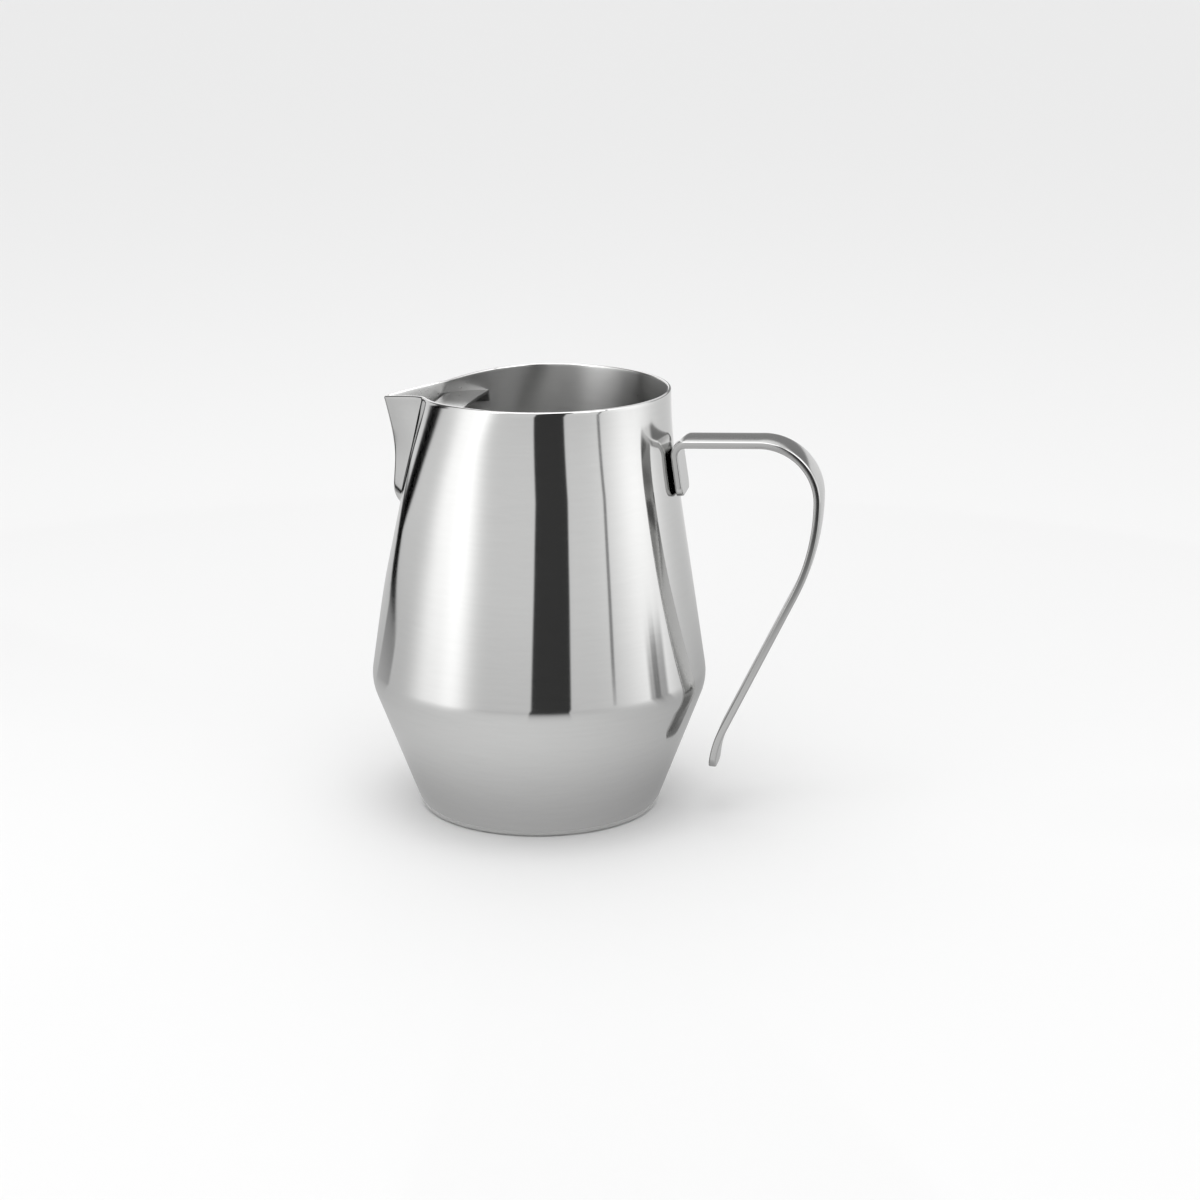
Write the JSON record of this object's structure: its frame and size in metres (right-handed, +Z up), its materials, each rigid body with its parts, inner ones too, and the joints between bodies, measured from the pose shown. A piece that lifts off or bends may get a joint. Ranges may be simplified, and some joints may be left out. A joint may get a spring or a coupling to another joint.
{
  "type": "milk frothing pitcher",
  "caption": "Polished steel jug with a bulged belly, a pinched pouring spout, a foam guard across its mouth and an open bent strap handle.",
  "frame": {"origin": "on the axis of the round body, in the plane of its flat base", "axes": "+Z up along the body's axis, +X towards the handle, -X towards the spout, +Y completes the right-handed frame and is square to the jug's plane of symmetry"},
  "size_m": [0.1211, 0.09, 0.1145],
  "materials": {
    "polished_body": "stainless steel, mirror polished outside and satin brushed around inside",
    "handle_steel": "stainless steel strap, polished with a faint lengthwise grain",
    "guard_steel": "stainless steel sheet, polished",
    "weld_steel": "dull weld metal"
  },
  "bodies": {
    "root": {"body_shell": "polished_body", "handle_strap": "handle_steel", "foam_guard": "guard_steel", "handle_welds": "weld_steel", "guard_welds": "weld_steel"}
  },
  "joints": []
}
